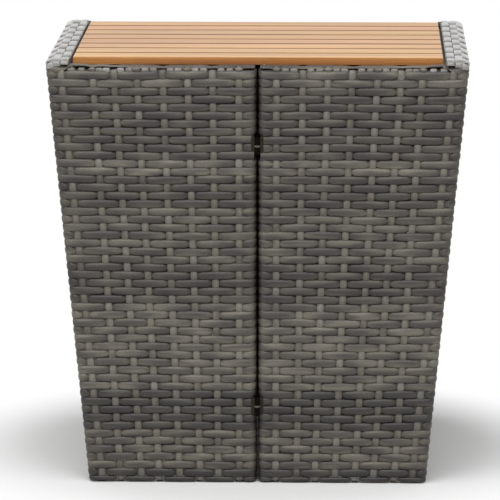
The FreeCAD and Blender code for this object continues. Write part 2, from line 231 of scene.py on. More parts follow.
class Strands:
    """Collects swept strips and turns them into one mesh piece."""

    def __init__(self):
        self.points = []
        self.faces = []
        self.count = 0

    def add(self, path, outs, width, high, profile=PROFILE):
        """Sweep a domed strip whose crest follows the path; outs point away from the piece.

        width and high are one number, or one number for each point of the path."""
        path = np.asarray(path, float)
        width = np.broadcast_to(width, len(path))
        high = np.broadcast_to(high, len(path))
        outs = np.asarray(outs, float)
        outs /= np.linalg.norm(outs, axis=1, keepdims=True)
        along = np.gradient(path, axis=0)
        along /= np.linalg.norm(along, axis=1, keepdims=True)
        side = np.cross(along, outs)
        side /= np.linalg.norm(side, axis=1, keepdims=True)
        rings = (path[:, None, :]
                 + side[:, None, :] * (profile[None, :, 0:1] * width[:, None, None])
                 + outs[:, None, :] * ((profile[None, :, 1:2] - 1) * high[:, None, None]))
        rows, ring = rings.shape[:2]
        self.points.append(rings.reshape(-1, 3))
        starts = self.count + np.arange(rows - 1)[:, None] * ring
        base = starts + np.arange(ring)[None, :]
        turned = starts + (np.arange(ring)[None, :] + 1) % ring
        quads = np.stack([base, base + ring, turned + ring, turned], axis=-1).reshape(-1, 4)
        self.faces.extend(quads.tolist())
        self.faces.append([self.count + i for i in range(ring)])
        self.faces.append([self.count + (rows - 1) * ring + i for i in reversed(range(ring))])
        self.count += rows * ring

    def piece(self, name, body, material, nodes):
        """Make the mesh, put it on its body and let it replace the nodes."""
        mesh = bpy.data.meshes.new(name)
        mesh.from_pydata(np.concatenate(self.points).tolist(), [], self.faces)
        mesh.update()
        mesh.shade_smooth()
        mesh.set_sharp_from_angle(angle=SHARP_ANGLE)
        mesh.materials.append(material)
        thing = bpy.data.objects.new(name, mesh)
        bpy.context.scene.collection.objects.link(thing)
        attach(thing, body)
        if nodes:
            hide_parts(*nodes)


# Paths
def rounded_path(corners, radii, marks):
    """Points, tangents and leg numbers along a flat path whose corners are rounded.

    marks gives, for each leg, distances along that leg (from its start corner) to sample.
    Points on a rounded corner have the leg number -1."""
    corners = [np.array(c, float) for c in corners]
    points, tangents, legs = [], [], []
    last = len(corners) - 2
    for leg in range(last + 1):
        start, end = corners[leg], corners[leg + 1]
        length = np.linalg.norm(end - start)
        along = (end - start) / length
        near = radii[leg]
        far = length - radii[leg + 1]
        inner = sorted(d for d in marks[leg] if near + CLOSE < d < far - CLOSE)
        for d in [near] + inner + [far]:
            points.append(start + along * d)
            tangents.append(along)
            legs.append(leg)
        if leg < last:
            following = corners[leg + 2] - end
            following /= np.linalg.norm(following)
            radius = radii[leg + 1]
            centre = end - along * radius + following * radius
            for share in (0.25, 0.5, 0.75):
                ahead = math.cos(share * math.pi / 2)
                aside = math.sin(share * math.pi / 2)
                turn = along * ahead + following * aside
                points.append(centre + along * radius * aside - following * radius * ahead)
                tangents.append(turn / np.linalg.norm(turn))
                legs.append(-1)
    return np.array(points), np.array(tangents), np.array(legs)


def right_of(tangents):
    """Directions square to a flat path, on its right."""
    return np.stack([tangents[:, 1], -tangents[:, 0]], axis=1)


def lengths_along(flat):
    """Distance of each point of a flat path from its start."""
    return np.concatenate([[0], np.cumsum(np.linalg.norm(np.diff(flat, axis=0), axis=1))])


def spaced(start, end, step):
    """Even places from start to end, about a step apart."""
    count = max(1, int(round((end - start) / step)))
    return [start + (end - start) * i / count for i in range(count + 1)]


def across_face(half, face, turn, x, flat, outs):
    """A path square to the front or the back, with its outward directions."""
    path = np.stack([SIGNS[half] * x, face + turn * flat[:, 0], flat[:, 1]], axis=1)
    return path, np.stack([np.zeros(len(flat)), turn * outs[:, 0], outs[:, 1]], axis=1)


def across_side(half, y, flat, outs):
    """A path square to a side, with its outward directions."""
    path = np.stack([SIGNS[half] * flat[:, 0], np.full(len(flat), y), flat[:, 1]], axis=1)
    return path, np.stack([SIGNS[half] * outs[:, 0], np.zeros(len(flat)), outs[:, 1]], axis=1)


# Places of the rows and the stakes
def half_width(z):
    """Distance of the leaning side from the middle plane."""
    return BOTTOM_HALF + LEAN * z


def row_height(row):
    """Height of a row's middle; the last row is narrower and lies along the lower edge."""
    if row == ROWS:
        return PANEL_LOW + LOW_BORDER / 2
    return ROW_FIRST - ROW_PITCH * row


def face_stake(index, z):
    """Distance of a front or back stake from the middle plane; stake 0 is next to the outer edge."""
    share = (z - PANEL_LOW) / (PANEL_TOP - PANEL_LOW)
    return (STAKE_FEET[index] + (STAKE_TOPS[index] - STAKE_FEET[index]) * share) * MM


def side_stake(index):
    """Place of a side stake between the front and the back; stake 0 is next to the front."""
    return FACE_FRONT + SIDE_PITCH * (index + 0.5)


def shows(stake, row):
    """A stake shows in every second row; its neighbours show in the rows between."""
    return (stake + row) % 2 == 0


def shown_on_face(row, z):
    """Places of the front or back stakes that show in a row."""
    return [face_stake(index, z) for index in range(FACE_STAKES) if shows(index, row)]


def shown_on_side(row, indices=range(SIDE_STAKES)):
    """Places of the side stakes that show in a row."""
    return [side_stake(index) for index in indices if shows(index + 1, row)]


def nearness(places, stakes):
    """1 at each of the stakes, falling to 0 beside them."""
    near = np.zeros(len(places))
    for stake in stakes:
        near += np.exp(-((places - stake) / DIP_REACH) ** 2)
    return near


# Where the upright strands are sampled, from their feet up, and where the strands that cross them are
UP_MARKS = sorted(row_height(row) + share * ROW_PITCH - PANEL_LOW
                  for row in range(ROWS) for share in ROW_MARKS)
SIDE_MARKS = np.array(sorted(side_stake(index) + d
                             for index in range(SIDE_STAKES) for d in NEAR_STAKE))


# The woven faces
def weave_rows(half, strands):
    """The level strands: round the seam edges, across the front, the side and the back."""
    sign = SIGNS[half]
    inner_front, inner_back = FACE_FRONT + WRAP_DEEP, FACE_BACK - WRAP_DEEP
    for row in range(ROWS + 1):
        z = row_height(row)
        wide = half_width(z)
        corners = [(ROW_END, inner_front), (SEAM_INNER, inner_front), (SEAM, FACE_FRONT), (wide, FACE_FRONT),
                   (wide, FACE_BACK), (SEAM, FACE_BACK), (SEAM_INNER, inner_back), (ROW_END, inner_back)]
        half_way = [0, SEAM_INNER_ROUND, SEAM_ROUND, CORNER_ROUND]
        radii = half_way + half_way[::-1]
        front_marks = [face_stake(index, z) - SEAM + d for index in range(FACE_STAKES)
                       for d in (NEAR_STAKE if shows(index, row) else [0])]
        side_marks = [side_stake(index) - FACE_FRONT + d for index in range(SIDE_STAKES)
                      for d in (NEAR_STAKE if shows(index + 1, row) else [0])]
        back_marks = [wide - SEAM - d for d in front_marks]
        marks = [[], [], front_marks, side_marks, back_marks, [], []]
        front_leg = 2
        to_hinge = min(abs(z - height) for height in HINGES)
        if to_hinge < HINGE_REACH:
            start = LEAF_FAR if to_hinge < HINGE_FULL else KNUCKLE_FAR
            corners = [(start, FACE_FRONT)] + corners[3:]
            radii = [0] + radii[3:]
            marks = [[d - start + SEAM for d in front_marks]] + marks[3:]
            front_leg = 0
        flat, tangents, legs = rounded_path(corners, radii, marks)
        outs = right_of(tangents)
        x, y = flat[:, 0], flat[:, 1]
        on_face = (legs == front_leg) | (legs == front_leg + 2)
        on_side = legs == front_leg + 1
        dip = on_face * nearness(x, shown_on_face(row, z)) + on_side * nearness(y, shown_on_side(row))
        inward = flat - outs * (dip * DIP)[:, None]
        phase = dice.uniform(0, FULL_TURN)
        wave = ROW_WAVE * np.sin(x * WAVE_X + y * WAVE_Y + phase)
        shift = dice.uniform(-ROW_SHIFT, ROW_SHIFT)
        sway = ROW_SWAY * np.sin(x * SWAY_X + z * SWAY_XZ) * np.sin(y * SWAY_Y + z * SWAY_YZ + sign)
        height = np.clip(z + wave + shift + sway, row_height(ROWS), row_height(0))
        path = np.stack([sign * inward[:, 0], inward[:, 1], height], axis=1)
        normals = np.stack([sign * outs[:, 0], outs[:, 1], -LEAN * np.abs(outs[:, 0])], axis=1)
        width = (LAST_ROW_WIDE if row == ROWS else ROW_WIDE) * (1 - PINCH * np.minimum(dip, 1))
        strands.add(path, normals, width, np.where(legs < 0, CORNER_HIGH, ROW_HIGH))


def stake_depth(row, stake):
    """How far a stake's crest lies behind the outer face: out where it shows, else behind the rows."""
    wave = 0.5 - 0.5 * np.cos(math.pi * (row + stake))
    above_foot = np.clip((FOOT_ROW - row) / FOOT_FADE, 0, 1)
    return STAKE_OUT + wave * above_foot * (STAKE_BEHIND - STAKE_OUT)


def face_stakes(half, strands):
    """Upright strands of the front and the back: up the face, over both rails and down inside."""
    corners = [(WRAP_DEEP, LOW_RAIL_TOP), (WRAP_DEEP, PANEL_LOW), (0, PANEL_LOW),
               (0, PANEL_TOP), (WRAP_DEEP, PANEL_TOP), (WRAP_DEEP, PANEL_TOP - WRAP_DEEP)]
    radii = [0] + [WRAP_ROUND] * 4 + [0]
    flat, tangents, legs = rounded_path(corners, radii, [[], [], UP_MARKS, RAIL_MARKS, []])
    outs = -right_of(tangents)
    row = np.maximum((ROW_FIRST - flat[:, 1]) / ROW_PITCH, -1)
    for face, turn in FACES:
        for index in range(FACE_STAKES):
            on_rail = UNDER_BORDER if shows(index, 0) else OVER_BORDER
            off_face = np.where(row < 0, on_rail, ROUND_FOOT)
            depth = np.where(legs == 2, stake_depth(row, index), off_face)
            inward = flat - outs * depth[:, None]
            x = face_stake(index, flat[:, 1]) + dice.uniform(-STAKE_SHIFT, STAKE_SHIFT)
            path, normals = across_face(half, face, turn, x, inward, outs)
            strands.add(path, normals, STAKE_WIDE, STAKE_HIGH, ROUND_PROFILE)


def side_stakes(half, strands):
    """Upright strands of the side: round the lower rail, up the side and over the rim."""
    low = half_width(PANEL_LOW)
    top = half_width(TOP)
    corners = [(low - RIM_WIDE, LOW_RAIL_TOP), (low - RIM_WIDE, PANEL_LOW), (low, PANEL_LOW),
               (top, TOP), (top - RIM_WIDE, TOP), (top - RIM_WIDE, RIM_END)]
    radii = [0, WRAP_ROUND, WRAP_ROUND, RIM_ROUND, RIM_INNER_ROUND, 0]
    flat, tangents, legs = rounded_path(corners, radii, [[], [], UP_MARKS, RIM_MARKS, []])
    outs = right_of(tangents)
    # Rows are counted along the stake, so they go on over the rim, below 0
    along = lengths_along(flat)
    first = np.interp(ROW_FIRST, flat[legs == 2, 1], along[legs == 2])
    row = (first - along) / ROW_PITCH
    for index in range(SIDE_STAKES):
        depth = stake_depth(row, index + 1)
        if index in (0, SIDE_STAKES - 1):
            depth = np.where(row < RIM_END_ROW, UNDER_RIM_END, depth)
        inward = flat - outs * depth[:, None]
        y = side_stake(index) + dice.uniform(-STAKE_SHIFT, STAKE_SHIFT)
        path, normals = across_side(half, y, inward, outs)
        strands.add(path, normals, STAKE_WIDE, STAKE_HIGH, ROUND_PROFILE)


# The strands wound round the tubes
def rail_wraps(half, strands):
    """Strands wound round the upper and lower rails of the front and the back, between the stakes."""
    over, under = PANEL_TOP - UPPER_SUNK, PANEL_TOP - WRAP_DEEP
    upper = [(HIDDEN_END, PANEL_TOP - UPPER_REACH), (UPPER_FRONT, over), (WRAP_DEEP, over),
             (WRAP_DEEP, under), (INNER_END, under)]
    over, under = PANEL_LOW + WRAP_DEEP, PANEL_LOW + LOWER_SUNK
    lower = [(INNER_END, over), (WRAP_DEEP, over), (WRAP_DEEP, under),
             (LOWER_FRONT, under), (HIDDEN_END, PANEL_LOW + LOWER_REACH)]
    for corners, facing in ((upper, -1), (lower, 1)):
        flat, tangents, _ = rounded_path(corners, [0] + [WRAP_ROUND] * 3 + [0], [[], [], [], []])
        outs = facing * right_of(tangents)
        z = flat[:, 1]
        for face, turn in FACES:
            for index in range(FACE_STAKES - 1):
                for share in BETWEEN:
                    x = face_stake(index, z) * (1 - share) + face_stake(index + 1, z) * share
                    x = x + dice.uniform(-WRAP_SHIFT, WRAP_SHIFT)
                    path, normals = across_face(half, face, turn, x, flat, outs)
                    strands.add(path, normals, WRAP_WIDE * dice.uniform(*WRAP_SPREAD), WRAP_HIGH)


def post_wraps(half, strands):
    """Strands round the inner corner of each post, one to a row."""
    sign = SIGNS[half]
    for face, turn in FACES:
        for row in range(1, ROWS):
            z = row_height(row)
            outer = half_width(z)
            inner = outer - RIM_WIDE
            corners = [(inner, POST_GAP), (inner, WRAP_DEEP), (outer - POST_GAP, WRAP_DEEP)]
            flat, tangents, _ = rounded_path(corners, [0, WRAP_ROUND, 0], [[], []])
            outs = -right_of(tangents)
            path = np.stack([sign * flat[:, 0], face + turn * flat[:, 1], np.full(len(flat), z)], axis=1)
            normals = np.stack([sign * outs[:, 0], turn * outs[:, 1], np.zeros(len(flat))], axis=1)
            strands.add(path, normals, WRAP_WIDE, WRAP_HIGH)


def side_wraps(half, strands):
    """Strands round the lower side rail, between the stakes."""
    outer = half_width(PANEL_LOW) - SIDE_WRAP_INSET
    inner = half_width(PANEL_LOW) - RIM_WIDE
    under = PANEL_LOW + SIDE_WRAP_SUNK
    corners = [(outer, SIDE_WRAP_JOIN), (outer, LOW_RAIL_TOP), (inner, LOW_RAIL_TOP),
               (inner, under), (outer, under), (outer, SIDE_WRAP_JOIN)]
    flat, tangents, _ = rounded_path(corners, [0] + [WRAP_ROUND] * 4 + [0], [[], [], [], [], []])
    outs = right_of(tangents)
    for index in range(SIDE_STAKES - 1):
        for share in BETWEEN:
            path, normals = across_side(half, side_stake(index) + SIDE_PITCH * share, flat, outs)
            strands.add(path, normals, SIDE_WRAP_WIDE, WRAP_HIGH)


# The borders
def rail_part(half_top, face, turn, inwards, parity, level, lift=0):
    """Points and outward directions of a border strand on a rail, from the seam to the rim.

    level is its height over the rail, and lift what it gains towards the rim."""
    x = np.array(spaced(SEAM + SEAM_GAP, half_top - RIM_WIDE - RIM_GAP, BORDER_STEP))
    dip = nearness(x, shown_on_face(parity, PANEL_TOP))
    phase = dice.uniform(0, FULL_TURN)
    rise = lift * np.exp(-((x - x[-1]) / CORNER_REACH) ** 2)
    z = PANEL_TOP + level - dip * BORDER_DIP + BORDER_WAVE * np.sin(x * WAVE_TURN + phase) + rise
    y = face + turn * (inwards + BORDER_SWAY * np.sin(x * SWAY_TURN + phase))
    return np.stack([x, y, z], axis=1), np.tile([0.0, -BORDER_TILT * turn, 1.0], (len(x), 1))


def corner_part(half_top, face, turn, lift):
    """A border strand from the rail to the side: it turns on edge and goes round the post."""
    points, outs = [], []
    for share in (0.2, 0.4, 0.6, 0.8, 1.0):
        ease = share * share * (3 - 2 * share)
        inwards = BORDER_BACK * (1 - ease) + CORNER_INSET * ease
        points.append((half_top - RIM_WIDE - RIM_GAP + CORNER_RUN * share,
                       face + turn * inwards,
                       PANEL_TOP + lift * (1 - ease) - CORNER_DROP * ease))
        outs.append((0.0, -turn * (BORDER_TILT + (1 - BORDER_TILT) * ease), 1.0 - ON_EDGE * ease))
    for angle in (20, 45, 70):
        bend = math.radians(angle)
        points.append((half_top - BEND_SIDE + BEND_ROUND * math.sin(bend),
                       face + turn * (BEND_FACE - BEND_ROUND * math.cos(bend)),
                       PANEL_TOP - BEND_DROP + BEND_RISE * angle / 90))
        outs.append((math.sin(bend), -turn * math.cos(bend), BEND_TILT))
    return np.array(points), np.array(outs)


def side_part():
    """A border strand along the side, between the bends round the posts."""
    y = SIDE_MARKS[(SIDE_MARKS > FACE_FRONT + SIDE_BORDER_END) & (SIDE_MARKS < FACE_BACK - SIDE_BORDER_END)]
    z = row_height(-1)
    x = half_width(z) - SIDE_BORDER_INSET - nearness(y, shown_on_side(-1)) * DIP
    return np.stack([x, y, np.full(len(y), z)], axis=1), np.tile([1.0, 0.0, -LEAN], (len(y), 1))


def corner_tuck():
    """A strand on edge that closes the corner of the back rail and the rim."""
    x = half_width(TOP) - RIM_WIDE + TUCK_PLACES
    y = np.full(len(x), FACE_BACK - TUCK_BACK)
    z = np.full(len(x), (PANEL_TOP + TOP) / 2)
    return np.stack([x, y, z], axis=1), np.tile([0.0, -1.0, 0.0], (len(x), 1))


def borders(half, strands):
    """The strand along the front rail, the side and the back rail, and a second one on each rail."""
    half_top = half_width(PANEL_TOP)
    flip = np.array([SIGNS[half], 1, 1])
    front = rail_part(half_top, FACE_FRONT, 1, BORDER_BACK, 1, BORDER_LEVEL, CORNER_RISE)
    front_corner = corner_part(half_top, FACE_FRONT, 1, CORNER_RISE)
    back = rail_part(half_top, FACE_BACK, -1, BORDER_BACK, 1, UNDER_WOOD)
    back_corner = corner_part(half_top, FACE_BACK, -1, UNDER_WOOD)
    side = side_part()
    path, outs = (np.concatenate([front[i], front_corner[i], side[i], back_corner[i][::-1], back[i][::-1]])
                  for i in (0, 1))
    strands.add(path * flip, outs * flip, BORDER_WIDE, BORDER_HIGH)
    for (face, turn), level in zip(FACES, (SECOND_LEVEL, UNDER_WOOD)):
        path, outs = rail_part(half_top, face, turn, SECOND_BACK, 0, level)
        strands.add(path * flip, outs * flip, BORDER_WIDE, BORDER_HIGH)
    path, outs = corner_tuck()
    strands.add(path * flip, outs * flip, BORDER_WIDE, BORDER_HIGH)


# The rim
def rim_section():
    """The rim's outline across, with its outward directions: over the outer edge and down to the slats."""
    top = half_width(TOP)
    inner = top - RIM_WIDE
    corners = [(half_width(ROW_FIRST), ROW_FIRST), (top, TOP), (inner, TOP), (inner, RIM_END)]
    marks = [[], [d * MM for d in range(8, 28, 2)], []]
    flat, tangents, _ = rounded_path(corners, [0, RIM_ROUND, RIM_INNER_ROUND, 0], marks)
    return flat, right_of(tangents)


def rim_row_end(place, out, edge, turn, drop):
    """Points and outward directions of a rim row's end, from its tip to where it lies level."""
    points, facing = [], []
    for bend in BENDS:
        ahead, level = math.sin(bend), max(math.cos(bend), 0)
        points.append((place[0] - out[0] * END_INWARD * (1 - level),
                       edge + turn * END_LONG * ahead ** (2 / END_POWER),
                       place[1] - drop * (1 - level ** (2 / END_POWER))))
        upright = level ** (2 - 2 / END_POWER) / drop
        outwards = turn * ahead ** (2 - 2 / END_POWER) / END_LONG
        facing.append((out[0] * upright, outwards, out[1] * upright))
    return np.array(points), np.array(facing)


def rim_rows(half, strands):
    """Strands along the rim, woven over and under the side stakes, and turned down at both ends."""
    flip = np.array([SIGNS[half], 1, 1])
    flat, outs = rim_section()
    along = lengths_along(flat)
    near, far = FACE_FRONT + END_BACK + END_LONG, FACE_BACK - END_BACK - END_LONG
    inner_marks = SIDE_MARKS[(SIDE_MARKS > near + MM) & (SIDE_MARKS < far - MM)]
    y = np.concatenate([[near], inner_marks, [far]])
    for row, drop, inset in RIM_ROWS:
        out = np.array([np.interp(-row * ROW_PITCH, along, outs[:, axis]) for axis in (0, 1)])
        place = np.array([np.interp(-row * ROW_PITCH, along, flat[:, axis]) for axis in (0, 1)])
        place -= out * inset * MM
        dip = nearness(y, shown_on_side(row, range(1, SIDE_STAKES - 1)))
        middle = np.stack([place[0] - out[0] * dip * RIM_DIP, y, place[1] - out[1] * dip * RIM_DIP], axis=1)
        middle_outs = np.tile([out[0], 0.0, out[1]], (len(y), 1))
        first, first_outs = rim_row_end(place, out, near, -1, drop * MM)
        last, last_outs = rim_row_end(place, out, far, 1, drop * MM)
        path = np.concatenate([first, middle, last[::-1]])
        normals = np.concatenate([first_outs, middle_outs, last_outs[::-1]])
        width = np.full(len(path), RIM_ROW_WIDE)
        width[len(BENDS):-len(BENDS)] *= 1 - PINCH * np.minimum(dip, 1)
        strands.add(path * flip, normals * flip, width, RIM_ROW_HIGH, FLAT_PROFILE)


def rim_wraps(half, strands):
    """Strands across the rim between the stakes, under the rows, and up to the surface at the inner edge."""
    flat, outs = rim_section()
    from_edge = flat[:, 0] - half_width(TOP) + RIM_WIDE
    sunk = RIM_WRAP_SUNK / (1 + np.exp(-(from_edge - SUNK_FROM) / SUNK_OVER))
    inward = flat - outs * (sunk + RIM_WRAP_INSET)[:, None]
    for index in range(-1, SIDE_STAKES):
        for share in BETWEEN:
            y = side_stake(index) + SIDE_PITCH * share
            if FACE_FRONT + 2 * END_LONG < y < FACE_BACK - 2 * END_LONG:
                path, normals = across_side(half, y, inward, outs)
                strands.add(path, normals, RIM_WRAP_WIDE * dice.uniform(*RIM_WRAP_SPREAD), RIM_WRAP_HIGH)


# Materials
def linear(red, green, blue):
    """A colour given as it looks on screen, 0 to 255, as a shader value."""
    values = []
    for part in (red, green, blue):
        part /= 255
        values.append(part / 12.92 if part <= 0.04045 else ((part + 0.055) / 1.055) ** 2.4)
    return (*values, 1.0)


def grey(level):
    """A grey as a shader value."""
    return (level, level, level, 1.0)


class Finish:
    """A node material with a Principled shader and helpers to wire it."""

    def __init__(self, name, roughness, metallic=0.0, specular=0.5):
        self.material = bpy.data.materials.new(name)
        self.material.use_nodes = True
        self.tree = self.material.node_tree
        self.shader = self.tree.nodes["Principled BSDF"]
        self.shader.inputs["Roughness"].default_value = roughness
        self.shader.inputs["Metallic"].default_value = metallic
        self.shader.inputs["Specular IOR Level"].default_value = specular
        self.place = self.tree.nodes.new("ShaderNodeTexCoord").outputs["Object"]

    def link(self, source, target):
        self.tree.links.new(source, target)

    def noise(self, stretch, detail, shift=(0.0, 0.0, 0.0)):
        """Noise over the place, with its turns per metre along each axis."""
        mapping = self.tree.nodes.new("ShaderNodeMapping")
        mapping.inputs["Scale"].default_value = stretch
        mapping.inputs["Location"].default_value = shift
        texture = self.tree.nodes.new("ShaderNodeTexNoise")
        texture.inputs["Scale"].default_value = 1.0
        texture.inputs["Detail"].default_value = detail
        texture.inputs["Roughness"].default_value = 0.5
        self.link(self.place, mapping.inputs["Vector"])
        self.link(mapping.outputs["Vector"], texture.inputs["Vector"])
        return texture.outputs["Fac"]

    def axis(self, source, name):
        """One of the three parts of a vector."""
        node = self.tree.nodes.new("ShaderNodeSeparateXYZ")
        self.link(source, node.inputs["Vector"])
        return node.outputs[name]

    def share(self, source, low, high, kind="LINEAR"):
        """0 where the source is low, and 1 where it is high."""
        node = self.tree.nodes.new("ShaderNodeMapRange")
        node.interpolation_type = kind
        node.inputs["From Min"].default_value = low
        node.inputs["From Max"].default_value = high
        self.link(source, node.inputs["Value"])
        return node.outputs["Result"]

    def ramp(self, source, stops):
        """Colours by the value of the source."""
        node = self.tree.nodes.new("ShaderNodeValToRGB")
        elements = node.color_ramp.elements
        while len(elements) < len(stops):
            elements.new(0.5)
        for element, (position, colour) in zip(elements, stops):
            element.position = position
            element.color = colour
        self.link(source, node.inputs["Fac"])
        return node.outputs["Color"]

    def multiply(self, first, second):
        """One colour times another."""
        node = self.tree.nodes.new("ShaderNodeMix")
        node.data_type = "RGBA"
        node.blend_type = "MULTIPLY"
        node.inputs["Factor"].default_value = 1.0
        self.link(first, node.inputs["A"])
        self.link(second, node.inputs["B"])
        return node.outputs["Result"]

    def colour(self, source):
        self.link(source, self.shader.inputs["Base Color"])

    def bump(self, source, strength, distance):
        node = self.tree.nodes.new("ShaderNodeBump")
        node.inputs["Strength"].default_value = strength
        node.inputs["Distance"].default_value = distance
        self.link(source, node.inputs["Height"])
        self.link(node.outputs["Normal"], self.shader.inputs["Normal"])

    def roughness(self, source, low, high):
        node = self.tree.nodes.new("ShaderNodeMapRange")
        node.inputs["To Min"].default_value = low
        node.inputs["To Max"].default_value = high
        self.link(source, node.inputs["Value"])
        self.link(node.outputs["Result"], self.shader.inputs["Roughness"])


# Batches of strand from the floor up: the height at which each ends, and its shade
BATCHES = [(0.017, 0.27), (0.065, 0.80), (0.114, 0.33), (0.220, 0.94), (0.269, 0.45),
           (0.337, 0.74), (0.375, 0.45), (0.395, 1.0), (0.482, 0.48), (0.515, 0.83)]
BATCH_EDGE = 3 * MM


def batches(finish, strength):
    """A shade over the height, by the batch of strand; a low strength evens the batches out."""
    stops = []
    low = 0.0
    for high, shade in BATCHES:
        level = grey(1 - strength * (1 - shade))
        stops += [((low + BATCH_EDGE / 2) / TOP, level), ((high - BATCH_EDGE / 2) / TOP, level)]
        low = high
    return finish.ramp(finish.share(finish.axis(finish.place, "Z"), 0.0, TOP), stops)


def rattan(name, colours, slow, fine, shift, banded=0.0, polish=0.0, specular=0.5):
    """Plastic wicker: colour that changes along the strands, with fine grooves along them.

    slow and fine are the turns per metre of the colour and of the grooves."""
    finish = Finish(name, roughness=0.42, specular=specular)
    dark, middle, pale = colours
    drift = finish.ramp(finish.noise(slow, 1.5, shift), [(0.36, dark), (0.5, middle), (0.64, pale)])
    if banded:
        drift = finish.multiply(drift, batches(finish, banded))
    grooves = finish.noise(fine, 2.0)
    shade = finish.ramp(grooves, [(0.3, grey(0.72)), (0.7, grey(1.0))])
    flecks = finish.noise((420, 420, 420), 2.0, shift)
    shade = finish.multiply(shade, finish.ramp(flecks, [(0.35, grey(0.86)), (0.62, grey(1.0))]))
    finish.colour(finish.multiply(drift, shade))
    finish.bump(grooves, 0.25, 0.0004)
    finish.roughness(grooves, 0.38 - polish, 0.52 - polish)
    return finish.material


# Colours of the oiled wood by its grain, as they look on screen
GRAIN = [(0.34, (186, 126, 60)), (0.5, (209, 150, 80)), (0.66, (230, 174, 102))]


def timber(name, seed, tint, warmth, sides):
    """Oiled hardwood with grain along the slat.

    tint makes it lighter, warmth makes it redder, and sides is painted shade on its upright faces and edges."""
    finish = Finish(name, roughness=0.45, specular=0.6)
    shift = (seed * 3.1, seed * 7.3, seed * 1.7)
    grain = finish.noise((3, 130, 130), 4.0, shift)
    pores = finish.noise((40, 900, 900), 2.0, shift)
    body = finish.ramp(grain, [(place, linear(red + tint, green + tint - warmth, blue + tint))
                               for place, (red, green, blue) in GRAIN])
    shade = finish.ramp(pores, [(0.35, grey(0.84)), (0.6, grey(1.0))])
    # Painted shade: faces that do not look up are multiplied by the sides colour
    shape = finish.tree.nodes.new("ShaderNodeNewGeometry")
    upward = finish.axis(shape.outputs["True Normal"], "Z")
    body = finish.multiply(body, finish.ramp(upward, [(0.55, sides), (0.97, grey(1.0))]))
    finish.colour(finish.multiply(body, shade))
    finish.bump(pores, 0.2, 0.0003)
    finish.roughness(grain, 0.28, 0.42)
    return finish.material


def coated(name, dark, pale, scale, roughness, metallic=0.0):
    """A hard surface with a fine mottle: powder coat, bare metal, nylon or moulded rubber."""
    finish = Finish(name, roughness=roughness, metallic=metallic)
    speckle = finish.noise((scale, scale, scale), 3.0)
    finish.colour(finish.ramp(speckle, [(0.35, dark), (0.65, pale)]))
    finish.bump(speckle, 0.15, 0.0003)
    finish.roughness(speckle, roughness - 0.08, roughness + 0.08)
    return finish.material


def hinge_paint(name, black, brown):
    """Black paint on the knuckles, worn brown on the leaves at both sides of them."""
    finish = Finish(name, roughness=0.6, specular=0.04)
    speckle = finish.noise((500, 500, 500), 3.0)
    aside = finish.tree.nodes.new("ShaderNodeMath")
    aside.operation = "ABSOLUTE"
    finish.link(finish.axis(finish.place, "X"), aside.inputs[0])
    worn = finish.share(aside.outputs["Value"], KNUCKLE_RADIUS, LEAF_NEAR)
    paint = finish.ramp(worn, [(0.0, black), (1.0, brown)])
    shade = finish.ramp(speckle, [(0.35, grey(0.7)), (0.65, grey(1.0))])
    finish.colour(finish.multiply(paint, shade))
    finish.bump(speckle, 0.15, 0.0003)
    finish.roughness(speckle, 0.52, 0.68)
    return finish.material


PURPLE_GREY = linear(75, 68, 65)
MIDDLE_GREY = linear(94, 88, 80)
OLIVE_GREY = linear(122, 116, 104)
PALE_GREY = linear(118, 114, 106)
LIGHT_GREY = linear(130, 127, 119)
# The next two greys are painted sheen: lighter tones of the same wicker as the rows, standing in for the
# sheen on the rim and the wraps
SHEEN_PAINTED_MID_GREY = linear(142, 140, 136)
SHEEN_PAINTED_PALE_GREY = linear(156, 155, 152)
ROWS_FINISH = rattan("rattan_rows", (PURPLE_GREY, MIDDLE_GREY, OLIVE_GREY),
                     slow=(20, 20, 100), fine=(35, 35, 1300), shift=(0, 0, 0), banded=1.0)
STAKES_FINISH = rattan("rattan_stakes", (MIDDLE_GREY, OLIVE_GREY, LIGHT_GREY),
                       slow=(40, 40, 30), fine=(1300, 1300, 35), shift=(3, 1, 0), banded=0.45)
# The wraps are the same wicker as the rows, written lighter: painted sheen on the loops along the top and
# across the rim
WRAPS_FINISH = rattan("rattan_wraps", (PALE_GREY, LIGHT_GREY, SHEEN_PAINTED_PALE_GREY),
                      slow=(60, 60, 20), fine=(900, 900, 120), shift=(1, 5, 0), polish=0.12)
# The rim is the same wicker as the rows, written lighter: painted sheen from the grazing light on its top,
# added to the real sheen of its low roughness
RIM_FINISH = rattan("rattan_rim", (LIGHT_GREY, SHEEN_PAINTED_MID_GREY, SHEEN_PAINTED_PALE_GREY),
                    slow=(100, 20, 60), fine=(1300, 35, 1300), shift=(2, 2, 0), polish=0.3, specular=0.9)
TUBE_FINISH = coated("powder_coat", linear(44, 42, 40), linear(60, 58, 55), scale=700, roughness=0.5)
HINGE_FINISH = hinge_paint("blackened_steel", linear(13, 11, 8), linear(58, 51, 42))
SCREW_FINISH = coated("zinc_steel", linear(150, 148, 143), linear(182, 180, 175),
                      scale=600, roughness=0.32, metallic=1.0)
WASHER_FINISH = coated("dull_nylon", linear(78, 74, 68), linear(98, 94, 86), scale=600, roughness=0.6)
GLIDE_FINISH = coated("moulded_rubber", linear(30, 30, 30), linear(44, 44, 43), scale=900, roughness=0.65)


# Finishes of the pieces that are carried over
def dress(node, material):
    """Give a carried-over piece its finish."""
    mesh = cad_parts[node].data
    mesh.materials.clear()
    mesh.materials.append(material)


# Painted shade on the slats' upright faces and edges: a mild warm one on the front slat, and a deep one
# standing for the shade in the gaps between the slats
FRONT_SLAT_PAINTED_SHADE = (0.77, 0.62, 0.52, 1.0)
GAP_PAINTED_SHADE = (0.22, 0.13, 0.08, 1.0)
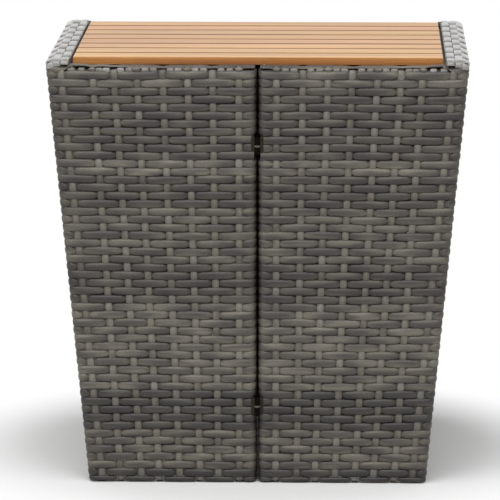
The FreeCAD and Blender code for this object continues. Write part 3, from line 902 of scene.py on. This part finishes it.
# How much the slats differ, in steps of a screen colour
TINTS = (-9, 9)
WARMTHS = (-5, 7)
FRONT_SLAT = min(SLATS, key=lambda number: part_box(f"slat_{number}")[0].y)
for number in SLATS:
    sides = FRONT_SLAT_PAINTED_SHADE if number == FRONT_SLAT else GAP_PAINTED_SHADE
    tint = dice.uniform(*TINTS)
    warmth = dice.uniform(*WARMTHS)
    dress(f"slat_{number}", timber(f"slat_wood_{number}", number, tint, warmth, sides))
for name in ("batten_left", "batten_right"):
    dress(name, timber(f"{name}_wood", seed=11, tint=-6, warmth=0, sides=grey(1.0)))
dress("slat_screws", SCREW_FINISH)
dress("hinge_pins", HINGE_FINISH)
dress("hinge_washers", WASHER_FINISH)
for half in SIGNS:
    dress(f"hinge_{half}_leaves", HINGE_FINISH)
    dress(f"{half}_glides", GLIDE_FINISH)
    dress(f"{half}_side_rails", TUBE_FINISH)
    dress(f"{half}_ledge", TUBE_FINISH)
    for face in ("front", "back"):
        for part in ("post", "stile", "rails"):
            dress(f"{half}_{face}_{part}", TUBE_FINISH)


# The woven halves
def woven(half, name, material, makers, replaced=()):
    """One woven piece of a half, from the functions that make its strands."""
    strands = Strands()
    for make in makers:
        make(half, strands)
    strands.piece(f"{half}_{name}", f"{half}_base", material, [f"{half}_{node}" for node in replaced])


for half in SIGNS:
    woven(half, "rows", ROWS_FINISH, [weave_rows], ["front_weave", "side_weave", "back_weave"])
    woven(half, "stakes", STAKES_FINISH, [face_stakes, side_stakes])
    woven(half, "wraps", WRAPS_FINISH, [rail_wraps, post_wraps, side_wraps],
          ["front_wraps", "back_wraps", "side_wrap"])
    woven(half, "rim_wraps", WRAPS_FINISH, [rim_wraps], ["rim"])
    woven(half, "rim_rows", RIM_FINISH, [rim_rows])
    woven(half, "borders", ROWS_FINISH, [borders])


# Surroundings
def background_ray(tree):
    """1 for rays that show the background: seen directly, in a reflection or through something clear."""
    rays = tree.nodes.new("ShaderNodeLightPath")
    found = rays.outputs["Is Camera Ray"]
    for kind in ("Is Glossy Ray", "Is Transmission Ray"):
        either = tree.nodes.new("ShaderNodeMath")
        either.operation = "MAXIMUM"
        tree.links.new(found, either.inputs[0])
        tree.links.new(rays.outputs[kind], either.inputs[1])
        found = either.outputs["Value"]
    return found


# Floor: pale, with the object's shadow, and white as the background away from the object
FLOOR_SIZE = 60
FADE_START = 0.26
FADE_END = 0.44
bpy.ops.mesh.primitive_plane_add(size=FLOOR_SIZE)
floor = bpy.context.object
floor.name = "floor"
floor_finish = Finish("pale_floor", roughness=0.8, specular=0.2)
mottle = floor_finish.noise((2, 2, 2), 2.0)
floor_finish.colour(floor_finish.ramp(mottle, [(0.3, grey(0.86)), (0.7, grey(0.88))]))
floor_nodes = floor_finish.tree.nodes
white = floor_nodes.new("ShaderNodeEmission")
reach = floor_nodes.new("ShaderNodeVectorMath")
reach.operation = "LENGTH"
floor_finish.link(floor_finish.place, reach.inputs[0])
fade = floor_finish.share(reach.outputs["Value"], FADE_START, FADE_END, "SMOOTHSTEP")
seen = floor_nodes.new("ShaderNodeMath")
seen.operation = "MULTIPLY"
floor_finish.link(fade, seen.inputs[0])
floor_finish.link(background_ray(floor_finish.tree), seen.inputs[1])
blend = floor_nodes.new("ShaderNodeMixShader")
floor_finish.link(seen.outputs["Value"], blend.inputs["Fac"])
floor_finish.link(floor_finish.shader.outputs["BSDF"], blend.inputs[1])
floor_finish.link(white.outputs["Emission"], blend.inputs[2])
floor_finish.link(blend.outputs["Shader"], floor_nodes["Material Output"].inputs["Surface"])
floor.data.materials.append(floor_finish.material)

# Light: a wide soft lamp above and in front, and a white surround that lights less than it shows
SURROUND_LIGHT = 0.5
SURROUND_SHOWN = 1.0
world = bpy.data.worlds.new("surround")
bpy.context.scene.world = world
world.use_nodes = True
nodes = world.node_tree.nodes
links = world.node_tree.links
lighting = nodes["Background"]
shown = nodes.new("ShaderNodeBackground")
for backdrop, strength in ((lighting, SURROUND_LIGHT), (shown, SURROUND_SHOWN)):
    backdrop.inputs["Color"].default_value = grey(1.0)
    backdrop.inputs["Strength"].default_value = strength
choose = nodes.new("ShaderNodeMixShader")
links.new(background_ray(world.node_tree), choose.inputs["Fac"])
links.new(lighting.outputs["Background"], choose.inputs[1])
links.new(shown.outputs["Background"], choose.inputs[2])
links.new(choose.outputs["Shader"], nodes["World Output"].inputs["Surface"])


def lamp(name, power, size, location, target):
    """A square area lamp that points at the target."""
    light = bpy.data.lights.new(name, "AREA")
    light.energy = power
    light.shape = "SQUARE"
    light.size = size
    thing = bpy.data.objects.new(name, light)
    thing.location = location
    thing.rotation_euler = (Vector(target) - Vector(location)).to_track_quat("-Z", "Y").to_euler()
    bpy.context.scene.collection.objects.link(thing)


lamp("softbox", power=67, size=3.0, location=(-0.3, -1.5, 2.6), target=(0, 0, 0.4))

# Camera, at the photograph's angle
AZIMUTH = math.radians(1.45)
ELEVATION = math.radians(10.1)
DISTANCE = 5.309
TARGET = Vector((-0.0137, 0.0, 0.2508))
camera_data = bpy.data.cameras.new("camera")
camera_data.lens = 307.2
camera_data.sensor_width = 36
camera_data.clip_end = 100
camera = bpy.data.objects.new("camera", camera_data)
away = Vector((math.sin(AZIMUTH) * math.cos(ELEVATION),
               -math.cos(AZIMUTH) * math.cos(ELEVATION),
               math.sin(ELEVATION)))
camera.location = TARGET + away * DISTANCE
camera.rotation_euler = (-away).to_track_quat("-Z", "Y").to_euler()
bpy.context.scene.collection.objects.link(camera)
bpy.context.scene.camera = camera
bpy.context.scene.view_settings.view_transform = "Standard"
